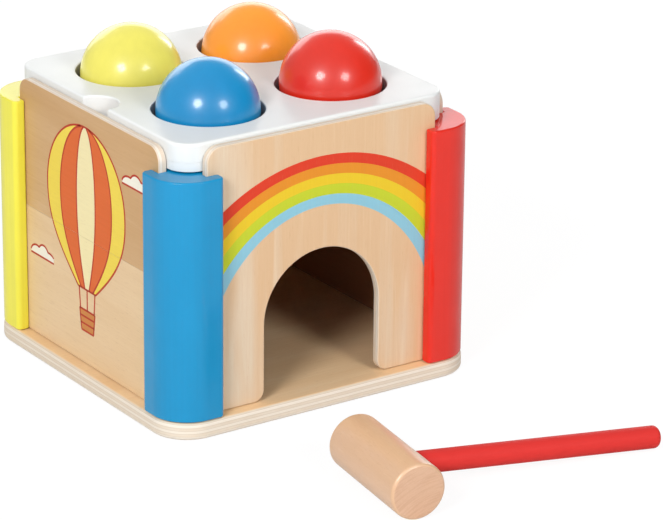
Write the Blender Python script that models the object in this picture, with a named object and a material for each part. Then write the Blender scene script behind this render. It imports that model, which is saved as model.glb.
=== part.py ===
# Pounding cube: a wooden box on a plywood base, with a ball in each of four elastic seats in its white
# top, an arched doorway where the balls roll out, slide-in walls, and a hammer lying beside it.
# Origin: middle of the base's underside. +Z up, the doorway faces -Y.

import math

import bmesh
import bpy
from mathutils import Vector

MM = 0.001

# Clearances
SEAT_GAP = 0.3 * MM            # between faces that rest on each other
SLIDE_GAP = 0.3 * MM           # each side of a wall in its groove
BORE_GAP = 0.2 * MM            # round a dowel, screw or handle in its hole

# Base board
BASE_THICKNESS = 8.0 * MM
BASE_CORNER_RADIUS = 17.6 * MM
BASE_EDGE_ROUND = 2.0 * MM

# Corner posts
POST_SIDE = 26.0 * MM
POST_HEIGHT = 109.4 * MM
POST_INSET = 0.2 * MM          # base edge to the post's outer faces
POST_OUTER_RADIUS = 17.5 * MM
POST_LIP_ROUND = 2.4 * MM      # bull nose at the free end of each groove lip
POST_INNER_ROUND = 1.5 * MM
POST_END_ROUND = 1.0 * MM

# Walls that stand in the posts' grooves
PANEL_THICKNESS = 4.0 * MM
PANEL_SETBACK = 5.9 * MM       # post's outer face to the wall's outer face
PANEL_TONGUE = 5.3 * MM        # how far a wall reaches into its groove
PANEL_CORNER_RADIUS = 7.0 * MM
PANEL_EDGE_ROUND = 0.6 * MM
FRONT_PANEL_RISE = 11.8 * MM   # wall's top above the posts' tops
SIDE_PANEL_RISE = 10.3 * MM
LOWER_PANEL_HEIGHT = 59.7 * MM  # wall's foot to the seam between its two boards

# Doorway in the front wall
DOOR_CLEARANCE = 14.3 * MM     # doorway's width beyond the ball that rolls through it
DOOR_SPRING_HEIGHT = 34.7 * MM  # wall's foot to the start of the arch
DOOR_FOOT_RADIUS = 5.0 * MM

# White top: two plates with the elastic rings clamped between them
TOP_PLATE_THICKNESS = 8.4 * MM
SEAT_PLATE_THICKNESS = 4.3 * MM
PLATE_CORNER_RADIUS = 11.0 * MM
TOP_EDGE_ROUND = 1.4 * MM
SEAT_EDGE_ROUND = 2.0 * MM     # the white top's lower edge
NOTCH_RADIUS = 10.4 * MM
HOLE_CLEARANCE = 1.95 * MM     # round a ball in its hole
HOLE_RIM_ROUND = 0.8 * MM
HOLE_WEB = 6.4 * MM            # wood between the recesses of neighbouring rings
PLATE_MARGIN = 9.0 * MM        # wood from a ring's recess to the plate's edge

# Balls and their elastic seats
BALL_DIAMETER = 45.7 * MM
BALL_LIFT = {                  # ball centre above the top face of the white plate
    "blue": -0.7 * MM,
    "red": 0.6 * MM,
    "yellow": -2.0 * MM,
    "orange": -3.2 * MM,
}
RING_THICKNESS = 1.4 * MM
RING_HELD_WIDTH = 3.6 * MM     # part of the ring that the plates clamp
RING_SLITS = 12
SLIT_WIDTH = 0.6 * MM
SLIT_RELIEF = 0.5 * MM         # how far a slit runs past the hole's edge

# Fasteners
DOWEL_DIAMETER = 6.0 * MM
DOWEL_IN_POST = 11.0 * MM
DOWEL_IN_TOP = 5.0 * MM
DOWEL_CHAMFER = 0.6 * MM
SCREW_DIAMETER = 4.0 * MM
SCREW_HEAD_DIAMETER = 8.0 * MM
SCREW_LENGTH = 30.0 * MM
SCREW_POINT = 4.0 * MM
SCREW_RECESS = 0.8 * MM        # head below the base's underside

# Hammer
HEAD_DIAMETER = 25.0 * MM
HEAD_LENGTH = 58.6 * MM
HEAD_RIM_ROUND = 2.2 * MM
HANDLE_DIAMETER = 9.95 * MM
HANDLE_REACH = 127.9 * MM      # head centre to the handle's tip
HANDLE_SOCKET = 5.0 * MM       # how far the handle goes past the head's centre
HANDLE_TIP_ROUND = 2.5 * MM
HAMMER_ASIDE = -30.8 * MM      # head centre from the cube's middle, along X
HAMMER_AHEAD = 87.9 * MM       # head centre before the base's front edge
HAMMER_TURN = math.radians(-7.7)
HANDLE_LEAN = math.radians(-3.0)   # the handle's lean off square in the head, seen from above

# Facets
ARC_STEPS = 5                  # per quarter turn of a corner
HOLE_STEPS = 40
TURNED_STEPS = 32
PIN_STEPS = 16
BALL_SEGMENTS = 24
ROUND_STEPS = 2                # across a rounded edge
CUT_MARGIN = 2.0 * MM          # how far a cutter runs past the face it opens
MERGE_DISTANCE = 0.001 * MM
SHARP_ANGLE = math.radians(35)  # edges that turn more than this are shaded sharp

# Places worked out from the sizes above, from a ball outwards to the base's edge
ball_radius = BALL_DIAMETER / 2
hole_radius = ball_radius + HOLE_CLEARANCE
ring_outer_radius = hole_radius + RING_HELD_WIDTH
recess_radius = ring_outer_radius + SEAT_GAP
hole_place = recess_radius + HOLE_WEB / 2
plate_half = hole_place + recess_radius + PLATE_MARGIN
panel_back = plate_half + SLIDE_GAP
panel_face = panel_back + PANEL_THICKNESS
panel_middle = (panel_face + panel_back) / 2
post_outer = panel_face + PANEL_SETBACK
post_centre = post_outer - POST_SIDE / 2
post_inner = post_outer - POST_SIDE
panel_half_width = post_inner + PANEL_TONGUE
base_half = post_outer + POST_INSET
dowel_place = (post_inner + plate_half) / 2
screw_place = post_centre

# Heights, from the base up
post_foot = BASE_THICKNESS + SEAT_GAP
post_top = post_foot + POST_HEIGHT
panel_foot = BASE_THICKNESS + SEAT_GAP
front_panel_height = POST_HEIGHT + FRONT_PANEL_RISE
upper_panel_height = POST_HEIGHT + SIDE_PANEL_RISE - LOWER_PANEL_HEIGHT - SEAT_GAP
seat_plate_foot = post_top + SEAT_GAP
seat_plate_top = seat_plate_foot + SEAT_PLATE_THICKNESS
ring_floor = seat_plate_top - RING_THICKNESS - SEAT_GAP
top_plate_foot = seat_plate_top + SEAT_GAP
top_plate_top = top_plate_foot + TOP_PLATE_THICKNESS

# Corner of each colour, and the turn that brings a post's round corner there
CORNERS = {
    "orange": (1, 1, 0),
    "yellow": (-1, 1, 90),
    "blue": (-1, -1, 180),
    "red": (1, -1, 270),
}


def linear(value):
    """One sRGB channel, 0 to 255, as the linear value a shader takes."""
    share = value / 255
    return share / 12.92 if share <= 0.04045 else ((share + 0.055) / 1.055) ** 2.4


def finish(obj, colour, roughness, metallic=0.0):
    """Give the object its own Principled material."""
    material = bpy.data.materials.new(obj.name + "_finish")
    material.use_nodes = True
    shader = material.node_tree.nodes["Principled BSDF"]
    shader.inputs["Base Color"].default_value = (*[linear(c) for c in colour], 1)
    shader.inputs["Roughness"].default_value = roughness
    shader.inputs["Metallic"].default_value = metallic
    obj.data.materials.append(material)


PAINT = {
    "blue": (40, 135, 200),
    "red": (225, 55, 45),
    "yellow": (245, 232, 70),
    "orange": (250, 150, 45),
}
PLYWOOD = (224, 196, 160)
VENEER = (236, 204, 165)
BEECH = (222, 180, 140)
WHITE_PAINT = (238, 239, 240)
RUBBER = (60, 56, 54)
ZINC = (190, 190, 185)
WOOD_ROUGHNESS = 0.55
PAINT_ROUGHNESS = 0.3
RUBBER_ROUGHNESS = 0.8
ZINC_ROUGHNESS = 0.35


def arc(centre_x, centre_y, radius, start, end, steps=ARC_STEPS):
    """Points along an arc, angles in degrees, both ends included."""
    points = []
    for step in range(steps + 1):
        angle = math.radians(start + (end - start) * step / steps)
        points.append((centre_x + radius * math.cos(angle), centre_y + radius * math.sin(angle)))
    return points


def circle(radius, steps):
    """Points round a full circle about the origin."""
    return arc(0, 0, radius, 0, 360, steps)[:-1]


def new_object(name, bm, location=(0, 0, 0), rotation=(0, 0, 0)):
    """Turn a bmesh into a named object of the scene, with its faces pointing out."""
    bmesh.ops.recalc_face_normals(bm, faces=bm.faces)
    mesh = bpy.data.meshes.new(name)
    bm.to_mesh(mesh)
    bm.free()
    mesh.shade_smooth()
    mesh.set_sharp_from_angle(angle=SHARP_ANGLE)
    obj = bpy.data.objects.new(name, mesh)
    obj.location = location
    obj.rotation_euler = rotation
    bpy.context.scene.collection.objects.link(obj)
    return obj


def prism(outline, bottom, top, bottom_round=0.0, top_round=0.0):
    """Extrude an outline from bottom to top, with rounded edges where asked."""
    bm = bmesh.new()
    face = bm.faces.new([bm.verts.new((x, y, bottom)) for x, y in outline])
    grown = bmesh.ops.extrude_face_region(bm, geom=[face])
    raised = [item for item in grown["geom"] if isinstance(item, bmesh.types.BMVert)]
    bmesh.ops.translate(bm, verts=raised, vec=(0, 0, top - bottom))
    for level, width in ((bottom, bottom_round), (top, top_round)):
        if width > 0:
            rim = [e for e in bm.edges if all(abs(v.co.z - level) < MERGE_DISTANCE for v in e.verts)]
            bmesh.ops.bevel(bm, geom=rim, offset=width, segments=ROUND_STEPS, profile=0.5,
                            affect="EDGES", clamp_overlap=False)
    return bm


def turned(profile, steps):
    """Spin a profile of (radius, height) points about Z. It starts and ends on the axis."""
    bm = bmesh.new()
    verts = [bm.verts.new((radius, 0, height)) for radius, height in profile]
    edges = [bm.edges.new(pair) for pair in zip(verts, verts[1:])]
    bmesh.ops.spin(bm, geom=verts + edges, cent=(0, 0, 0), axis=(0, 0, 1), angle=2 * math.pi,
                   steps=steps, use_merge=True)
    bmesh.ops.remove_doubles(bm, verts=bm.verts, dist=MERGE_DISTANCE)
    return bm


def rounded_rod(radius, bottom, top, bottom_round, top_round):
    """Profile of a rod about Z with rounded end rims."""
    points = [(0, bottom)]
    points += arc(radius - bottom_round, bottom + bottom_round, bottom_round, -90, 0, ROUND_STEPS)
    points += arc(radius - top_round, top - top_round, top_round, 0, 90, ROUND_STEPS)
    points.append((0, top))
    return points


def plain_rod(radius, bottom, top, chamfer=0.0):
    """Profile of a rod about Z, with chamfered ends where asked."""
    if chamfer == 0:
        return [(0, bottom), (radius, bottom), (radius, top), (0, top)]
    return [(0, bottom), (radius - chamfer, bottom), (radius, bottom + chamfer),
            (radius, top - chamfer), (radius - chamfer, top), (0, top)]


def cut(target, name, bm, location=(0, 0, 0), rotation=(0, 0, 0), parent=None):
    """Take a hidden cutter out of the target with a Boolean modifier."""
    cutter = new_object(name, bm, location, rotation)
    cutter.parent = parent
    cutter.hide_render = True
    cutter.display_type = "WIRE"
    modifier = target.modifiers.new(name, "BOOLEAN")
    modifier.operation = "DIFFERENCE"
    modifier.solver = "EXACT"
    modifier.object = cutter


def rounded_square(half, radius):
    """Outline of a square with round corners, counter-clockwise from the -Y side."""
    inner = half - radius
    points = []
    for turn, (sx, sy) in enumerate(((1, -1), (1, 1), (-1, 1), (-1, -1))):
        points += arc(sx * inner, sy * inner, radius, turn * 90 - 90, turn * 90)
    return points


def countersunk_profile(radius, head_radius, head_base, top):
    """Half outline of a countersunk shape: flat head below, 45 degree cone, shank above."""
    cone_end = head_base + head_radius - radius
    return [(0, head_base), (head_radius, head_base), (radius, cone_end), (radius, top), (0, top)]


def build_base():
    outline = rounded_square(base_half, BASE_CORNER_RADIUS)
    bm = prism(outline, 0, BASE_THICKNESS, BASE_EDGE_ROUND, BASE_EDGE_ROUND)
    base = new_object("base_board", bm)
    finish(base, PLYWOOD, WOOD_ROUGHNESS)
    shank_radius = SCREW_DIAMETER / 2 + BORE_GAP
    head_radius = SCREW_HEAD_DIAMETER / 2 + BORE_GAP
    for colour, (sx, sy, _) in CORNERS.items():
        profile = countersunk_profile(shank_radius, head_radius, SCREW_RECESS,
                                      BASE_THICKNESS + CUT_MARGIN)
        profile[0:1] = [(0, -CUT_MARGIN), (head_radius, -CUT_MARGIN)]
        place = (sx * screw_place, sy * screw_place, 0)
        cut(base, "cut_base_" + colour, turned(profile, PIN_STEPS), place)


def post_outline():
    """Section of a post about its own middle, its big radius at (+, +) and a groove for each wall."""
    half = POST_SIDE / 2
    groove_near = panel_back - SLIDE_GAP - post_centre
    groove_far = panel_face + SLIDE_GAP - post_centre
    groove_end = panel_half_width + SEAT_GAP - post_centre
    nose = min(POST_LIP_ROUND, (half - groove_far) / 2)
    inner = POST_INNER_ROUND - half
    outer = half - POST_OUTER_RADIUS
    points = arc(inner, inner, POST_INNER_ROUND, 180, 270, ROUND_STEPS)
    points += [(groove_near, -half), (groove_near, groove_end), (groove_far, groove_end)]
    points += arc(groove_far + nose, nose - half, nose, 180, 270, ROUND_STEPS)
    points += arc(half - nose, nose - half, nose, 270, 360, ROUND_STEPS)
    points += arc(outer, outer, POST_OUTER_RADIUS, 0, 90, 2 * ARC_STEPS)
    points += arc(nose - half, half - nose, nose, 90, 180, ROUND_STEPS)
    points += arc(nose - half, groove_far + nose, nose, 180, 270, ROUND_STEPS)
    points += [(groove_end, groove_far), (groove_end, groove_near), (-half, groove_near)]
    return points


def build_posts():
    dowel_hole = DOWEL_DIAMETER / 2 + BORE_GAP
    screw_hole = SCREW_DIAMETER / 2 + BORE_GAP
    screw_depth = SCREW_RECESS + SCREW_LENGTH + SEAT_GAP
    for colour, (sx, sy, turn) in CORNERS.items():
        bm = prism(post_outline(), 0, POST_HEIGHT, POST_END_ROUND, POST_END_ROUND)
        place = (sx * post_centre, sy * post_centre, post_foot)
        post = new_object("post_" + colour, bm, place, (0, 0, math.radians(turn)))
        finish(post, PAINT[colour], PAINT_ROUGHNESS)
        top_hole = turned(plain_rod(dowel_hole, post_top - DOWEL_IN_POST - SEAT_GAP,
                                    post_top + CUT_MARGIN), PIN_STEPS)
        cut(post, "cut_post_top_" + colour, top_hole, (sx * dowel_place, sy * dowel_place, 0))
        pilot = turned(plain_rod(screw_hole, post_foot - CUT_MARGIN, screw_depth), PIN_STEPS)
        cut(post, "cut_post_foot_" + colour, pilot, (sx * screw_place, sy * screw_place, 0))


def panel_outline(height, corner_radius):
    """A wall seen from outside, foot at y = 0, with round upper corners where asked."""
    half = panel_half_width
    if corner_radius == 0:
        return [(-half, 0), (half, 0), (half, height), (-half, height)]
    points = [(-half, 0), (half, 0)]
    points += arc(half - corner_radius, height - corner_radius, corner_radius, 0, 90)
    points += arc(corner_radius - half, height - corner_radius, corner_radius, 90, 180)
    return points


def front_outline():
    """The front wall: the plain wall's outline with the doorway taken out of its foot."""
    jamb = (BALL_DIAMETER + DOOR_CLEARANCE) / 2
    foot = DOOR_FOOT_RADIUS
    plain = panel_outline(front_panel_height, PANEL_CORNER_RADIUS)
    doorway = arc(-jamb - foot, foot, foot, -90, 0)
    doorway += arc(0, DOOR_SPRING_HEIGHT, jamb, 180, 0, 4 * ARC_STEPS)
    doorway += arc(jamb + foot, foot, foot, 180, 270)
    return plain[:1] + doorway + plain[1:]


def build_panel(name, outline, side, foot):
    """Stand a wall in the grooves on one side of the cube: 0 front, 90 right, 180 back, 270 left."""
    angle = math.radians(side)
    half = PANEL_THICKNESS / 2
    bm = prism(outline, -half, half, PANEL_EDGE_ROUND, PANEL_EDGE_ROUND)
    place = (panel_middle * math.sin(angle), -panel_middle * math.cos(angle), foot)
    panel = new_object(name, bm, place, (math.radians(90), 0, angle))
    finish(panel, VENEER, WOOD_ROUGHNESS)


def build_walls():
    build_panel("front_panel", front_outline(), 0, panel_foot)
    lower = panel_outline(LOWER_PANEL_HEIGHT, 0)
    upper = panel_outline(upper_panel_height, PANEL_CORNER_RADIUS)
    upper_foot = panel_foot + LOWER_PANEL_HEIGHT + SEAT_GAP
    for name, side in (("right", 90), ("back", 180), ("left", 270)):
        build_panel(name + "_panel_lower", lower, side, panel_foot)
        build_panel(name + "_panel_upper", upper, side, upper_foot)


def plate_outline():
    """The white top's outline: a round-cornered square with a finger notch at each slide-in wall."""
    square = rounded_square(plate_half, PLATE_CORNER_RADIUS)
    corner = len(square) // 4
    right = arc(plate_half, 0, NOTCH_RADIUS, 270, 90, 2 * ARC_STEPS)
    back = arc(0, plate_half, NOTCH_RADIUS, 360, 180, 2 * ARC_STEPS)
    left = arc(-plate_half, 0, NOTCH_RADIUS, 90, -90, 2 * ARC_STEPS)
    return (square[:corner] + right + square[corner:2 * corner] + back
            + square[2 * corner:3 * corner] + left + square[3 * corner:])


def top_hole_profile():
    """Cutter for a ball hole in the top plate, flared to round the hole's upper rim."""
    flare = hole_radius + HOLE_RIM_ROUND
    below = top_plate_foot - CUT_MARGIN
    above = top_plate_top + CUT_MARGIN
    rim = arc(flare, top_plate_top - HOLE_RIM_ROUND, HOLE_RIM_ROUND, 180, 90, ROUND_STEPS)
    return [(0, below), (hole_radius, below), *rim, (flare, above), (0, above)]


def seat_hole_profile():
    """Cutter for a ball hole in the seat plate, stepped out above for the elastic ring."""
    below = seat_plate_foot - CUT_MARGIN
    above = seat_plate_top + CUT_MARGIN
    return [(0, below), (hole_radius, below), (hole_radius, ring_floor),
            (recess_radius, ring_floor), (recess_radius, above), (0, above)]


def build_top():
    dowel_hole = DOWEL_DIAMETER / 2 + BORE_GAP
    top_bm = prism(plate_outline(), top_plate_foot, top_plate_top, 0, TOP_EDGE_ROUND)
    top = new_object("top_plate", top_bm)
    seat_bm = prism(plate_outline(), seat_plate_foot, seat_plate_top, SEAT_EDGE_ROUND)
    seat = new_object("seat_plate", seat_bm)
    for plate in (top, seat):
        finish(plate, WHITE_PAINT, PAINT_ROUGHNESS)
    blind_end = top_plate_foot + DOWEL_IN_TOP + SEAT_GAP
    for colour, (sx, sy, _) in CORNERS.items():
        hole = (sx * hole_place, sy * hole_place, 0)
        peg = (sx * dowel_place, sy * dowel_place, 0)
        cut(top, "cut_top_hole_" + colour, turned(top_hole_profile(), HOLE_STEPS), hole)
        cut(seat, "cut_seat_hole_" + colour, turned(seat_hole_profile(), HOLE_STEPS), hole)
        blind = plain_rod(dowel_hole, top_plate_foot - CUT_MARGIN, blind_end)
        cut(top, "cut_top_peg_" + colour, turned(blind, PIN_STEPS), peg)
        through = plain_rod(dowel_hole, seat_plate_foot - CUT_MARGIN, seat_plate_top + CUT_MARGIN)
        cut(seat, "cut_seat_peg_" + colour, turned(through, PIN_STEPS), peg)


def slit_star(inner_radius):
    """Outline of a ring's opening: a circle with a narrow slit running out at each step."""
    reach = hole_radius + SLIT_RELIEF
    half_slit = math.degrees(SLIT_WIDTH / 2 / inner_radius)
    half_end = math.degrees(SLIT_WIDTH / 2 / reach)
    pitch = 360 / RING_SLITS
    points = []
    for index in range(RING_SLITS):
        middle = index * pitch
        points += arc(0, 0, reach, middle - half_end, middle + half_end, 1)
        points += arc(0, 0, inner_radius, middle + half_slit, middle + pitch - half_slit, ROUND_STEPS)
    return points


def build_balls():
    ring_bottom = ring_floor + SEAT_GAP
    ring_top = ring_bottom + RING_THICKNESS
    for colour, (sx, sy, _) in CORNERS.items():
        centre_height = top_plate_top + BALL_LIFT[colour]
        bm = bmesh.new()
        bmesh.ops.create_uvsphere(bm, u_segments=BALL_SEGMENTS, v_segments=BALL_SEGMENTS // 2,
                                  radius=ball_radius)
        ball = new_object("ball_" + colour, bm, (sx * hole_place, sy * hole_place, centre_height))
        finish(ball, PAINT[colour], PAINT_ROUGHNESS)
        # The ring's lips are stretched open to the ball's girth where they touch it
        girth = math.sqrt(ball_radius ** 2 - (centre_height - ring_top) ** 2)
        place = (sx * hole_place, sy * hole_place, ring_bottom)
        ring_bm = prism(circle(ring_outer_radius, HOLE_STEPS), 0, RING_THICKNESS)
        ring = new_object("seat_ring_" + colour, ring_bm, place)
        finish(ring, RUBBER, RUBBER_ROUGHNESS)
        opening = prism(slit_star(girth + SEAT_GAP), -CUT_MARGIN, RING_THICKNESS + CUT_MARGIN)
        cut(ring, "cut_ring_" + colour, opening, place)


def build_fasteners():
    dowel_bottom = post_top - DOWEL_IN_POST
    dowel_top = top_plate_foot + DOWEL_IN_TOP
    screw_end = SCREW_RECESS + SCREW_LENGTH
    for colour, (sx, sy, _) in CORNERS.items():
        rod = plain_rod(DOWEL_DIAMETER / 2, dowel_bottom, dowel_top, DOWEL_CHAMFER)
        place = (sx * dowel_place, sy * dowel_place, 0)
        dowel = new_object("dowel_" + colour, turned(rod, PIN_STEPS), place)
        finish(dowel, BEECH, WOOD_ROUGHNESS)
        profile = countersunk_profile(SCREW_DIAMETER / 2, SCREW_HEAD_DIAMETER / 2, SCREW_RECESS,
                                      screw_end - SCREW_POINT)
        profile[-1] = (0, screw_end)
        place = (sx * screw_place, sy * screw_place, 0)
        screw = new_object("screw_" + colour, turned(profile, PIN_STEPS), place)
        finish(screw, ZINC, ZINC_ROUGHNESS, 1.0)


def build_hammer():
    """The hammer lies on its head's side with the handle's tip on the floor."""
    head_radius = HEAD_DIAMETER / 2
    handle_radius = HANDLE_DIAMETER / 2
    frame = bpy.data.objects.new("hammer_frame", None)
    frame.location = (HAMMER_ASIDE, -base_half - HAMMER_AHEAD, head_radius)
    frame.rotation_euler = (0, 0, HAMMER_TURN)
    bpy.context.scene.collection.objects.link(frame)

    half = HEAD_LENGTH / 2
    head_bm = turned(rounded_rod(head_radius, -half, half, HEAD_RIM_ROUND, HEAD_RIM_ROUND), TURNED_STEPS)
    head = new_object("hammer_head", head_bm, rotation=(math.radians(90), 0, 0))
    head.parent = frame
    finish(head, BEECH, WOOD_ROUGHNESS)

    # Slope at which the handle's tip rests on the floor
    contact = Vector((HANDLE_REACH - HANDLE_TIP_ROUND, handle_radius))
    slope = math.asin(head_radius / contact.length) - math.atan2(contact.y, contact.x)
    lie = (0, math.radians(90) + slope, HANDLE_LEAN)
    socket = turned(plain_rod(handle_radius + BORE_GAP, -HANDLE_SOCKET - SEAT_GAP,
                              head_radius + CUT_MARGIN), TURNED_STEPS)
    cut(head, "cut_handle_socket", socket, rotation=lie, parent=frame)
    rod = rounded_rod(handle_radius, -HANDLE_SOCKET, HANDLE_REACH, DOWEL_CHAMFER, HANDLE_TIP_ROUND)
    handle = new_object("hammer_handle", turned(rod, TURNED_STEPS), rotation=lie)
    handle.parent = frame
    finish(handle, PAINT["red"], PAINT_ROUGHNESS)


def main():
    for obj in list(bpy.data.objects):
        bpy.data.objects.remove(obj)
    build_base()
    build_posts()
    build_walls()
    build_top()
    build_balls()
    build_fasteners()
    build_hammer()


main()
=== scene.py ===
import math

import bmesh
import bpy
from mathutils import Matrix, Vector


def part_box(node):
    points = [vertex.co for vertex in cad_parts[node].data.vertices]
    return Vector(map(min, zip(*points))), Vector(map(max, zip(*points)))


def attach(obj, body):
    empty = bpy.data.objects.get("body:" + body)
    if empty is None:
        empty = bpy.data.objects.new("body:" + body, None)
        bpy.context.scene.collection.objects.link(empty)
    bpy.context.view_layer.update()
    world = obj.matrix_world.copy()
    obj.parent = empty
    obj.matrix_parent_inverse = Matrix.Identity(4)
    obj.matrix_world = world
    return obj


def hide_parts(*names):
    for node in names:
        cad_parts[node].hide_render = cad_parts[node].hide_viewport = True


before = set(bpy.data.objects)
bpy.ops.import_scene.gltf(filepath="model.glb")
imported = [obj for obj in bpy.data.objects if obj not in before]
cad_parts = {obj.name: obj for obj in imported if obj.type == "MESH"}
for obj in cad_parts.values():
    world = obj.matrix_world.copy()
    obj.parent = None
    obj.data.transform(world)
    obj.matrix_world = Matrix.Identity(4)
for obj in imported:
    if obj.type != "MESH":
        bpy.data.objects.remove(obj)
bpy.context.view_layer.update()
mm = 0.001
quarterTurns = {"orange": 0, "yellow": 90, "blue": 180, "red": 270}  # from the corner at +X +Y
print("frame loaded:", len(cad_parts), "nodes")


# Modelling by hand, in small steps

shaping = dict(sharpAngle=20, sameWithin=0.02 * mm, straight=0.99, cutDoubles=0.001 * mm, flatAngle=0.2,
               doubles=0.015 * mm, sliver=0.005 * mm)


def startClean():
    if bpy.context.mode != "OBJECT":
        bpy.ops.object.mode_set(mode="OBJECT")
    bpy.ops.object.select_all(action="DESELECT")


def takeUp(obj):
    startClean()
    obj.select_set(True)
    bpy.context.view_layer.objects.active = obj


def openUp(obj, selected=True):  # edit mode, with all of the mesh selected or none of it
    takeUp(obj)
    bpy.ops.object.mode_set(mode="EDIT")
    bpy.ops.mesh.select_all(action="SELECT" if selected else "DESELECT")


def closeUp():
    bpy.ops.object.mode_set(mode="OBJECT")


def settle(obj, name):  # place, turn and size go into the mesh
    takeUp(obj)
    bpy.ops.object.transform_apply(location=True, rotation=True, scale=True)
    obj.name = name
    obj.data.name = name
    return obj


def addBlock(name, low, high):
    startClean()
    low, high = Vector(low), Vector(high)
    bpy.ops.mesh.primitive_cube_add(size=1, location=(low + high) / 2)
    bpy.context.object.scale = high - low
    return settle(bpy.context.object, name)


def addRod(name, radius, length, centre, sides=96, turn=(0, 0, 0)):
    startClean()
    bpy.ops.mesh.primitive_cylinder_add(vertices=sides, radius=radius, depth=length,
                                        location=centre, rotation=turn)
    return settle(bpy.context.object, name)


def roundEdges(obj, width, steps, wanted):  # bevels the sharp edges that are wanted
    openUp(obj, selected=False)
    bpy.ops.mesh.select_mode(type="EDGE")
    mesh = bmesh.from_edit_mesh(obj.data)
    for edge in mesh.edges:
        start, end = (corner.co for corner in edge.verts)
        if edge.calc_face_angle(0) > math.radians(shaping["sharpAngle"]) and wanted(start, end):
            edge.select_set(True)
    bmesh.update_edit_mesh(obj.data)
    bpy.ops.mesh.bevel(offset=width, segments=steps, profile=0.5, affect="EDGES", clamp_overlap=False)
    closeUp()


def close(a, b):
    return abs(a - b) < shaping["sameWithin"]


def along(axis, start, end):  # the edge runs along this axis
    return abs((end - start).normalized()[axis]) > shaping["straight"]


def at(axis, value, start, end):  # both ends of the edge lie on this plane
    return close(start[axis], value) and close(end[axis], value)


def applyModifier(obj, modifier):
    takeUp(obj)
    bpy.ops.object.modifier_apply(modifier=modifier.name)


def cutOut(obj, cutter):
    cut = obj.modifiers.new("cut", "BOOLEAN")
    cut.operation = "DIFFERENCE"
    cut.solver = "EXACT"
    cut.object = cutter
    applyModifier(obj, cut)
    bpy.data.objects.remove(cutter)
    openUp(obj)
    bpy.ops.mesh.remove_doubles(threshold=shaping["cutDoubles"])
    bpy.ops.mesh.dissolve_limited(angle_limit=math.radians(shaping["flatAngle"]))
    closeUp()


def copyPiece(obj, name, turn=0):  # a copy with its own mesh, turned about the cube's middle
    takeUp(obj)
    bpy.ops.object.duplicate(linked=False)
    copy = bpy.context.object
    copy.rotation_euler.z = math.radians(turn)
    return settle(copy, name)


def mend(obj):  # no doubled corners and no faces without an area
    openUp(obj)
    bpy.ops.mesh.remove_doubles(threshold=shaping["doubles"])
    bpy.ops.mesh.dissolve_degenerate(threshold=shaping["sliver"])
    closeUp()


def dress(obj, material, body, node=None, smoothAngle=38):
    mend(obj)
    bpy.ops.object.shade_smooth_by_angle(angle=math.radians(smoothAngle))
    evenNormals = obj.modifiers.new("evenNormals", "WEIGHTED_NORMAL")
    evenNormals.keep_sharp = True
    applyModifier(obj, evenNormals)
    obj.data.materials.clear()
    obj.data.materials.append(material)
    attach(obj, body)
    if node:
        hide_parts(node)


# Shader building

noiseBand = (0.3, 0.7)  # most of a noise's values lie between these


def tone(red, green, blue):  # screen colour to the linear colour a socket takes
    shares = [value / 255 for value in (red, green, blue)]
    return tuple(((s + 0.055) / 1.055) ** 2.4 if s > 0.04045 else s / 12.92 for s in shares) + (1,)


def dimmed(colour, share):
    return tuple(channel * share for channel in tone(*colour)[:3]) + (1,)


def newMaterial(name):
    material = bpy.data.materials.new(name)
    material.use_nodes = True
    tree = material.node_tree
    return material, tree, tree.nodes["Principled BSDF"]


def plug(tree, socket, value):  # a socket is linked, a plain value is set
    if isinstance(value, bpy.types.NodeSocket):
        tree.links.new(value, socket)
    else:
        socket.default_value = value


def setInputs(node, values):
    for socket, value in values.items():
        node.inputs[socket].default_value = value


def noise(tree, vector, detail=3, roughness=0.55, distortion=0):
    node = tree.nodes.new("ShaderNodeTexNoise")
    setInputs(node, {"Scale": 1, "Detail": detail, "Roughness": roughness, "Distortion": distortion})
    tree.links.new(vector, node.inputs["Vector"])
    return node.outputs["Fac"]


def vectorMath(tree, operation, vector, other, output):
    node = tree.nodes.new("ShaderNodeVectorMath")
    node.operation = operation
    node.inputs[1].default_value = other
    tree.links.new(vector, node.inputs[0])
    return node.outputs[output]


def stretched(tree, vector, scale):
    return vectorMath(tree, "MULTIPLY", vector, scale, "Vector")


def partAlong(tree, vector, axis):  # how far a vector reaches along an axis
    return vectorMath(tree, "DOT_PRODUCT", vector, axis, "Value")


def placed(tree, centre=(0, 0, 0), turn=(0, 0, 0)):  # object coordinates from a centre, turned
    coordinates = tree.nodes.new("ShaderNodeTexCoord")
    mapping = tree.nodes.new("ShaderNodeMapping")
    mapping.vector_type = "TEXTURE"
    setInputs(mapping, {"Location": centre, "Rotation": [math.radians(angle) for angle in turn]})
    tree.links.new(coordinates.outputs["Object"], mapping.inputs["Vector"])
    return mapping.outputs["Vector"]


def surfaceNormal(tree):
    return tree.nodes.new("ShaderNodeNewGeometry").outputs["Normal"]


def splitUp(tree, vector):
    node = tree.nodes.new("ShaderNodeSeparateXYZ")
    tree.links.new(vector, node.inputs["Vector"])
    return [node.outputs[axis] for axis in "XYZ"]


def calculate(tree, operation, first, second=0.0, third=0.0):
    node = tree.nodes.new("ShaderNodeMath")
    node.operation = operation
    for socket, value in zip(node.inputs, (first, second, third)):
        plug(tree, socket, value)
    return node.outputs["Value"]


def spread(tree, value, fromLow, fromHigh, toLow=0.0, toHigh=1.0, smooth=False):
    node = tree.nodes.new("ShaderNodeMapRange")
    node.interpolation_type = "SMOOTHSTEP" if smooth else "LINEAR"
    setInputs(node, {"From Min": fromLow, "From Max": fromHigh, "To Min": toLow, "To Max": toHigh})
    tree.links.new(value, node.inputs["Value"])
    return node.outputs["Result"]


def widened(tree, value, toLow=0.0, toHigh=1.0, smooth=False):  # a noise over its whole range
    return spread(tree, value, *noiseBand, toLow, toHigh, smooth)


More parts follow.
